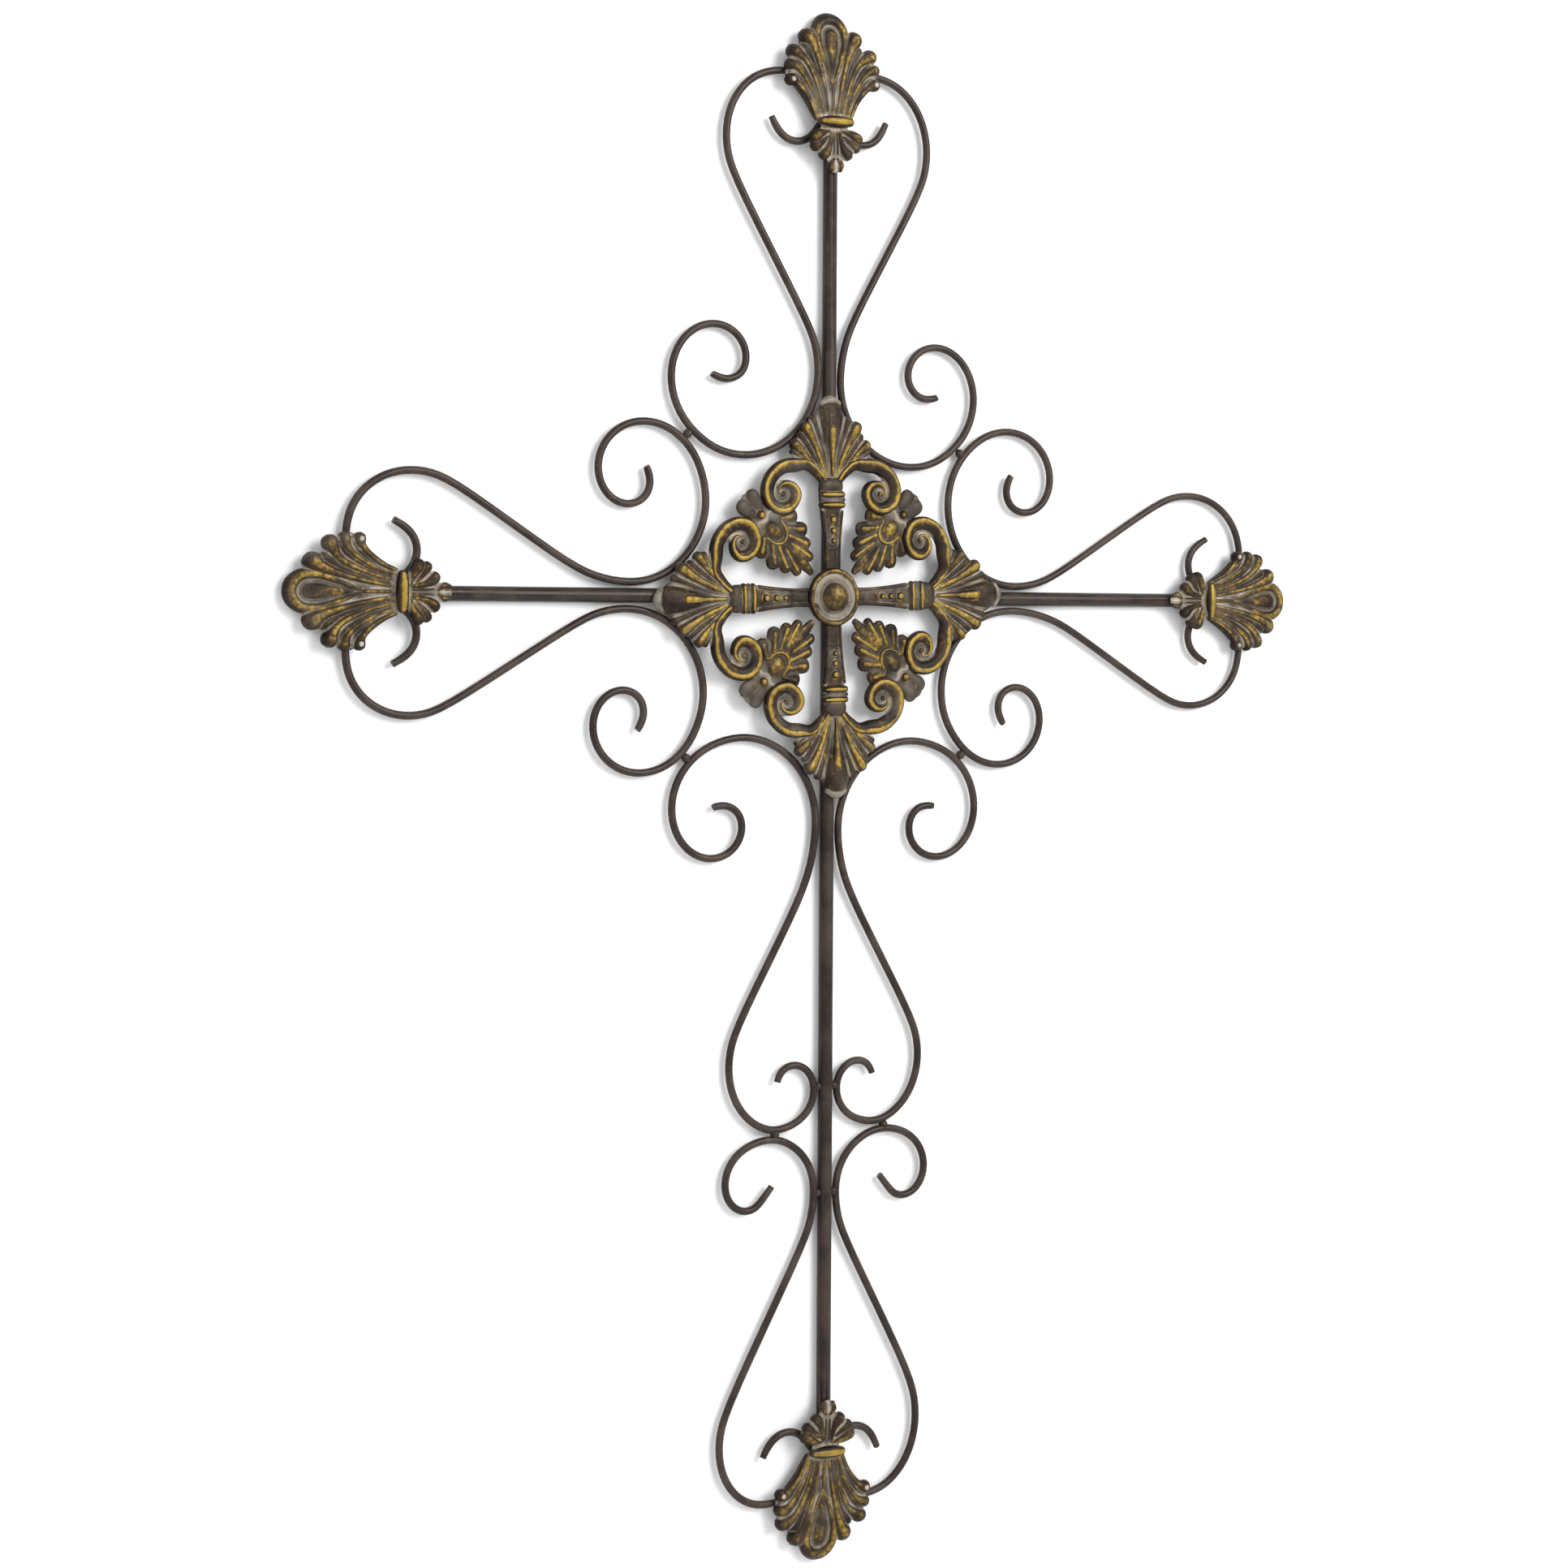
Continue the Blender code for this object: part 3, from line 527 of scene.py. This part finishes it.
def finial():
    """Palmette, collar and calyx, with the tip at the origin and the neck below it."""
    back = FINIAL_BACK
    parts = [
        # Centre lobe: a rim arched over a hollow, a tongue in it and a stem below
        stroke([(0, -48, 0.9), (-4.0, -39.5, 1.7), (-7.2, -30, 2.4), (-10.1, -19.5, 3.1),
                (-8.6, -9.2, 3.9), (0, -4.4, 4.3), (8.6, -9.2, 3.9), (10.1, -19.5, 3.1),
                (7.2, -30, 2.4), (4.0, -39.5, 1.7), (0, -48, 0.9)], 5.2, 1.05, 0.55, back),
        stroke([(0, -43, 0.9), (0, -35, 2.6), (0, -25, 4.6), (0, -17.5, 5.6), (0, -16.2, 5.4)],
               5.0, 0.55, 0.35, back),
        stroke([(0, -70, 1.3), (0, -59, 1.4), (0, -50, 1.3)], 5.4, 1.1, 0.5, back),
        stroke([(0, -68, 5), (0, -50, 7), (0, -30, 10), (0, -15, 11.4)], 3.4, 0.26, 0.0, back),
    ]
    lobes = (
        # Each side lobe is a rim that hooks over the tip, with a fold lying under it
        ([(-3.0, -70, 1.2), (-4.6, -60, 1.5), (-7.2, -47, 2.0), (-10.9, -32.5, 2.9),
          (-14.9, -22.0, 4.6), (-17.6, -17.6, 6.0)],
         [(-4.9, -70, 1.0), (-6.9, -59, 1.3), (-10.3, -46, 1.8), (-14.9, -33.6, 2.4),
          (-19.8, -25.4, 4.0)]),
        ([(-7.0, -70, 1.1), (-9.8, -57, 1.6), (-14.7, -43.4, 2.2), (-20.8, -33, 2.9),
          (-26.4, -29.2, 4.6), (-28.9, -28.2, 5.2)],
         [(-8.9, -70, 0.9), (-12.2, -57.6, 1.3), (-17.4, -46, 1.8), (-23.4, -37.4, 2.2),
          (-29.2, -33.2, 3.0)]),
        ([(-10.6, -70, 1.0), (-13.8, -58.6, 1.4), (-18.8, -48.8, 1.8), (-25.0, -40.6, 2.3),
          (-29.6, -37.6, 3.8), (-31.8, -37.0, 4.2)],
         [(-12.0, -70, 0.8), (-15.7, -59.6, 1.1), (-20.6, -51, 1.5), (-26.4, -44.6, 1.8),
          (-31.4, -41.6, 1.8)]),
        ([(-13.0, -70, 1.5), (-16.6, -61.6, 1.9), (-21.6, -54, 2.2), (-27.4, -48.6, 2.6),
          (-31.4, -46.6, 4.4)],),
    )
    for rim, *folds in lobes:
        for line in both(rim):
            parts.append(stroke(line, 5.2, 1.1, 0.55, back))
        for fold in folds:
            for line in both(fold):
                parts.append(stroke(line, 4.8, 1.0, 0.0, back))
    # A berry at the curl of each outer lobe
    for side in (-1, 1):
        parts.append(blob(31.6 * side, -46.8, 1.8, 1.8, 9.3, 1.0, -0.9, back=back))
    # Low ground under the lobes
    for under in ([(-6, -70, 5), (-9, -50, 7), (-13, -32, 8), (-17, -22, 6)],
                  [(-9, -68, 4), (-16, -50, 6), (-23, -37, 6.5), (-28, -31, 4.5)],
                  [(-11, -68, 4), (-18, -56, 4.5), (-26, -46, 5.0), (-31, -41.5, 4.4)]):
        for line in both(under):
            parts.append(stroke(line, 3.2, 0.3, 0.0, back))
    parts.append(stroke([(-10.2, -73, 3.0), (-6, -73, 3.9), (6, -73, 3.9), (10.2, -73, 3.0)],
                        9.0, 1.1, 1.6))
    # Calyx below the collar: three ribs a side, then a droplet between two small lobes
    for rib, gold in (([(-5.6, -78.6, 1.8), (-11.6, -80.9, 3.4), (-16.3, -83.6, 4.3)], 0.4),
                      ([(-6.6, -83.0, 1.6), (-11.6, -87.0, 3.0), (-15.2, -89.2, 3.6)], 0.3),
                      ([(-3.6, -79.6, 1.4), (-4.8, -87.4, 2.3), (-7.4, -92.6, 3.7),
                        (-8.8, -94.2, 3.9)], 0.35),
                      ([(-1.5, -79.6, 0.8), (-1.7, -88.0, 1.1), (-1.9, -93.6, 0.9)], 0.1),
                      ([(-1.6, -97.4, 1.3), (-3.9, -100.6, 2.1), (-3.4, -104.2, 1.6)], 0.35)):
        for line in both(rib):
            parts.append(stroke(line, 7.0, 1.1, gold))
    parts.append(stroke([(0, -97.6, 0.8), (0, -101, 1.4), (0, -104.8, 1.0)], 6.9, 1.1, -0.9))
    parts.append(stroke([(0, -78, 11), (0, -82, 14), (0, -86, 17.0), (0, -90, 15.5), (0, -96, 8),
                         (0, -103, 3.6)], 6.4, 0.08, -0.3))
    whole = melt(joined(parts))
    # The tip bends back towards the wall
    for corner in whole.data.vertices:
        share = max(0.0, 1 + corner.co.z / TIP_BEND_INSET)
        corner.co.y += TIP_BEND_DEPTH * share ** 2
    return whole


def volute(way):
    """Scroll from an arm's collar past its shell, rolling clockwise into its eye."""
    eye = (37.0, 68.0)
    neck = ((6.4, 76.0, 2.2), (11.6, 82.2, 3.2), (18.4, 87.0, 4.0))
    outer = ((117, 25.8), (95, 22.6), (65, 19.1), (34, 17.1), (0, 16.0), (-33, 15.4),
             (-61, 14.4), (-90, 14.0), (-121, 13.6), (-152, 13.5), (-178, 13.6), (-199, 12.8),
             (-225, 11.0), (-257, 8.8), (-290, 7.0), (-325, 5.4), (-362, 4.0))

    def run(inset, widths, start):
        """Points that keep the inset from the outer edge, on from where the neck has come to."""
        line = [(way * across, along, half) for across, along, half in start]
        for turn, reach in outer:
            angle = math.radians(turn)
            line.append((way * (eye[0] + (reach - inset(reach)) * math.cos(angle)),
                         eye[1] + (reach - inset(reach)) * math.sin(angle), widths(reach)))
        return line

    def half_band(reach):
        return min(4.9, 0.30 * reach)

    crest_start = [(across - 1.0, along + 1.2, 1.6) for across, along, half in neck]
    return [stroke(run(half_band, half_band, neck), 5.8, 0.85, 0.0),
            stroke(run(lambda reach: min(2.8, 0.22 * reach), lambda reach: min(2.8, 0.20 * reach),
                       crest_start), 7.5, 0.95, 0.95),
            blob(way * eye[0], eye[1], 2.2, 2.2, 6.4, 2.0, 0.5),
            blob(way * eye[0], eye[1], 9.0, 9.0, 5.7, 0.8)]


def shell():
    """Palmette at the end of an arm, from its neck outward."""
    parts = [
        # Centre flute, wide at the top, with its end folded forward
        stroke([(0, 77, 1.3), (0, 86, 2.6), (0, 98, 4.6), (0, 109, 7.6), (0, 117, 9.4),
                (0, 121.4, 9.0)], 5.9, 0.55, 0.0),
        stroke([(0, 80, 1.2), (0, 96, 2.2), (0, 110, 3.6)], 8.6, 0.8, 0.8),
        stroke([(-3, 73, 5.6), (3, 73, 5.6)], 7.2, 0.5, -0.05),
        stroke([(-5.6, 127.2, 2.6), (0, 129.2, 3.4), (5.6, 127.2, 2.6)], 6.4, 0.9, -0.4),
        stroke([(-6.6, 124.4, 1.0), (0, 126.4, 1.2), (6.6, 124.4, 1.0)], 8.4, 1.2, 0.2),
        stroke([(0, 80, 8), (0, 92, 10), (0, 108, 12), (0, 116, 12)], 6.0, 0.10),
    ]
    for rib, floor, gold in (([(-1.1, 77, 0.8), (-4.6, 92, 1.4), (-9.6, 106, 2.2),
                               (-13.4, 117, 2.8)], 5.9, 0.15),
                             ([(-2.4, 76, 1.2), (-7.4, 88, 2.2), (-13.2, 101, 3.2),
                               (-18.4, 109.8, 4.5), (-19.4, 111.4, 4.6)], 5.9, 0.75),
                             ([(-3.8, 76, 0.9), (-10.0, 87, 1.8), (-17.0, 97.8, 2.6),
                               (-22.4, 105.4, 3.0)], 5.6, 0.15),
                             ([(-4.9, 76, 1.0), (-12.6, 85.4, 2.0), (-20.4, 94, 2.9),
                               (-26.2, 99.2, 3.9), (-27.0, 99.8, 3.9)], 5.6, 0.6),
                             ([(-6.0, 76, 0.8), (-14.4, 83.4, 1.5), (-22.4, 90.4, 2.1),
                               (-28.6, 95.2, 2.3)], 5.4, 0.15)):
        for line in both(rib):
            parts.append(stroke(line, floor, 1.0, gold))
    for under in ([(-3, 76, 4), (-9, 92, 6), (-15, 107, 6.4)],
                  [(-4, 76, 4), (-14, 90, 5.4), (-23, 98, 5.4)]):
        for line in both(under):
            parts.append(stroke(line, 5.9, 0.16))
    return parts


def shaft():
    """Waisted arm with a sunk panel of three beads, and a ringed collar at its end."""
    parts = [stroke([(0, 12, 6.4), (0, 26, 6.1), (0, 40, 6.7), (0, 57, 8.5), (0, 72, 9.2)],
                    5.3, 0.34)]
    rails = [(-4.7, 17, 1.2), (-4.9, 30, 1.3), (-5.9, 44, 1.4), (-7.3, 56, 1.5)]
    for line in both(rails):
        parts.append(stroke(line, 6.6, 1.2, 0.1))
    parts.append(stroke([(-3.6, 31.4, 0.8), (3.6, 31.4, 0.8)], 6.6, 1.2, 0.0))
    for along, size in ((37.0, 2.1), (43.6, 2.5), (51.0, 2.8)):
        parts.append(blob(0, along, size, size, 7.4, 2.6, 2.0))
    for along in (60.6, 67.4):
        parts.append(stroke([(-7.8, along, 2.3), (-5, along, 3.1), (5, along, 3.1),
                             (7.8, along, 2.3)], 7.0, 0.9, 0.1))
        parts.append(stroke([(-7.6, along, 1.2), (-3, along, 1.8), (3, along, 1.8),
                             (7.6, along, 1.2)], 8.8, 1.1, 2.0))
    parts.append(stroke([(-8.6, 64, 1.5), (8.6, 64, 1.5)], 7.2, 0.8))
    return parts


def leaf():
    """Leaf between two arms: along runs outward on the diagonal, with the tip at the boss."""
    parts = [
        stroke([(0, 50, 3.4), (0, 38, 4.0), (0, 29, 3.6), (0, 24.0, 2.6)], 6.4, 0.50, 0.35),
        stroke([(0, 88, 6.5), (0, 78, 8.5), (0, 68, 14), (0, 58, 17), (0, 46, 14.0), (0, 38, 8)],
               6.4, 0.10, -0.15),
        blob(0, 63.0, 4.8, 6.4, 7.0, 2.4, 0.6),
        blob(0, 76.4, 3.2, 3.2, 7.4, 3.0, 0.9),
        stroke([(-7.6, 63, 0.9), (-6.6, 57.6, 1.3), (-3.6, 53.6, 1.5), (0, 52.4, 1.6),
                (3.6, 53.6, 1.5), (6.6, 57.6, 1.3), (7.6, 63, 0.9)], 7.6, 1.1, 0.9),
        stroke([(-9.0, 72, 0.9), (-5.4, 73.4, 1.2), (0, 71.2, 1.3), (5.4, 73.4, 1.2),
                (9.0, 72, 0.9)], 7.0, 1.0, -0.6),
    ]
    lobes = (([(-2.6, 48, 2.6), (-5.0, 38, 4.0), (-6.4, 31.6, 3.8)], 0.7),
             ([(-4.6, 54, 2.8), (-8.4, 44.6, 4.4), (-10.4, 39.4, 4.6)], 0.6),
             ([(-6.8, 58, 3.0), (-11.8, 51.6, 4.8), (-15.0, 48.0, 5.2)], 0.45),
             ([(-9.0, 64, 3.0), (-13.6, 60.8, 4.8), (-16.0, 59.4, 5.2)], 0.35),
             ([(-8, 71, 2.6), (-11.2, 69.0, 3.6), (-12.2, 68.4, 3.8)], 0.1),
             ([(-3.2, 80, 4.2), (-4.2, 85.0, 5.0), (-4.6, 88.4, 5.4)], -0.08))
    for lobe, gold in lobes:
        for line in both(lobe):
            parts.append(stroke(line, 5.8, 0.45, min(gold, 0.0)))
            if gold >= 0.2:
                # A gilt vein along the middle of the lobe
                vein = [(across * 1.02, along, 0.42 * half) for across, along, half in line]
                parts.append(stroke(vein, 6.2 + 0.26 * lobe[-1][2], 0.7, gold + 0.2))
    return parts


def boss():
    """Round boss over the crossing: stepped rings and a dome."""
    parts = [blob(0, 0, 18.6, 18.6, 7.6, 1.0)]
    for radius, half, floor, gold in ((17.1, 2.1, 7.4, 0.6), (13.0, 1.1, 8.2, -0.45)):
        ring = [(radius * math.cos(math.radians(angle)),
                 radius * math.sin(math.radians(angle)), half) for angle in range(0, 360, 30)]
        parts.append(stroke(ring, floor, 1.25, gold, closed=True))
    parts.append(blob(0, 0, 10.2, 10.2, 7.2, 5.6, 0.6))
    return parts


def copy_of(item):
    """A copy with a mesh of its own."""
    pick(item)
    bpy.ops.object.duplicate()
    return bpy.context.object


def build():
    """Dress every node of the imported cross, and return the box of the plain one."""
    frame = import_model()
    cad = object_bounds()
    wire_finish = dark_bronze("oil_rubbed_wire", *WIRE_TONES)
    bar_finish = dark_bronze("oil_rubbed_bar", *BAR_TONES)
    cast_finish = gilded_relief("rubbed_gilt_casting")

    for node in BARS + WIRES:
        bar = node in BARS
        piece = rounded_stock(frame, node, BAR_SIDES if bar else WIRE_SIDES,
                              BAR_RADIUS if bar else WIRE_RADIUS)
        finish(piece, node + "_round", bar_finish if bar else wire_finish)
        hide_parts(node)
        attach(piece, "root")

    beads = melt(joined([blob(across, along, 3.4, 3.0, 0, 3.2, turn=turn, back=-3.2)
                         for across, along, turn in WELDS]), WELD_GRAIN)
    place_flat(beads, 0, (0, 0))
    finish(beads, "weld_beads", wire_finish)
    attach(beads, "root")

    pattern = finial()
    for arm in ("top", "left", "right", "bottom"):
        piece = copy_of(pattern)
        turn = OUTWARD[arm] - 90 + FINIAL_LEAN[arm]
        way = math.radians(OUTWARD[arm])
        side = SHIFT_WAY[arm]
        collar = ((REACH[arm] - COLLAR_INSET) * math.cos(way) + side[0] * FINIAL_SHIFT[arm],
                  (REACH[arm] - COLLAR_INSET) * math.sin(way) + side[1] * FINIAL_SHIFT[arm])
        tip = (collar[0] - COLLAR_INSET * math.sin(math.radians(turn)),
               collar[1] + COLLAR_INSET * math.cos(math.radians(turn)))
        place_flat(piece, turn, tip)
        finish(piece, arm + "_palmette", cast_finish)
        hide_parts(arm + "_finial")
        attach(piece, "root")
    bpy.data.objects.remove(pattern)

    arm_pattern = melt(joined(shell() + shaft() + volute(1) + volute(-1)))
    leaf_pattern = melt(joined(leaf()))
    boss_piece = melt(joined(boss()))
    cast = [(boss_piece, "medallion_boss", 0)]
    for quarter in range(4):
        turn = 90 * quarter
        cast.append((copy_of(arm_pattern), "medallion_arm_%d" % (quarter + 1), turn))
        cast.append((copy_of(leaf_pattern), "medallion_leaf_%d" % (quarter + 1), turn - 45))
    for item in (arm_pattern, leaf_pattern):
        bpy.data.objects.remove(item)
    for piece, name, turn in cast:
        place_flat(piece, turn + MEDALLION_TURN, (0, 0))
        finish(piece, name, cast_finish)
        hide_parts("medallion")
        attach(piece, "root")
    return cad


def stage():
    """The wall that the cross hangs on, which the lamp behind shines through, and a floor."""
    deselect()
    bpy.ops.mesh.primitive_plane_add(size=STAGE_SIZE, location=(0, WALL_GAP, WALL_HEIGHT),
                                     rotation=(math.radians(90), 0, 0))
    wall = bpy.context.object
    wall.name = "wall"
    wall.visible_shadow = False
    wall.data.materials.append(white_wall())
    bpy.ops.mesh.primitive_plane_add(size=STAGE_SIZE,
                                     location=(0, -STAGE_SIZE / 2, FLOOR_HEIGHT))
    floor = bpy.context.object
    floor.name = "floor"
    floor.data.materials.append(plain("pale_floor", FLOOR_WHITE, 0.7))


def lamp(name, place, size, power):
    """A square white lamp that looks at the cross."""
    deselect()
    bpy.ops.object.light_add(type="AREA", location=place)
    item = bpy.context.object
    item.name = name
    item.data.size = size
    item.data.energy = power
    way = Vector(LAMP_AIM) - Vector(place)
    item.rotation_euler = way.to_track_quat("-Z", "Y").to_euler()


def light_and_camera():
    """The photographer's lamps, the light of the room and the camera."""
    lamp("key_right", (1.1, -2.4, 1.0), 1.7, 92)
    lamp("behind", (0.8, 2.6, 0.6), 2.0, 40)
    lamp("fill_left", (-2.2, -2.0, 1.2), 2.0, 30)
    world = bpy.data.worlds.new("studio")
    world.use_nodes = True
    room = world.node_tree.nodes["Background"]
    room.inputs["Color"].default_value = (1, 1, 1, 1)
    room.inputs["Strength"].default_value = ROOM_LIGHT
    bpy.context.scene.world = world
    bpy.context.scene.view_settings.view_transform = "Standard"

    deselect()
    bpy.ops.object.camera_add(location=CAMERA_PLACE)
    camera = bpy.context.object
    heading = Matrix.Rotation(math.radians(-CAMERA_HEADING), 3, "Z")
    upright = Matrix.Rotation(math.radians(90), 3, "X")
    roll = Matrix.Rotation(math.radians(CAMERA_ROLL), 3, "Z")
    camera.rotation_euler = (heading @ upright @ roll).to_euler()
    camera.data.sensor_width = CAMERA_SENSOR
    camera.data.lens = CAMERA_LENS
    camera.data.shift_y = CAMERA_SHIFT
    bpy.context.scene.camera = camera


cad_box = build()
stage()
light_and_camera()
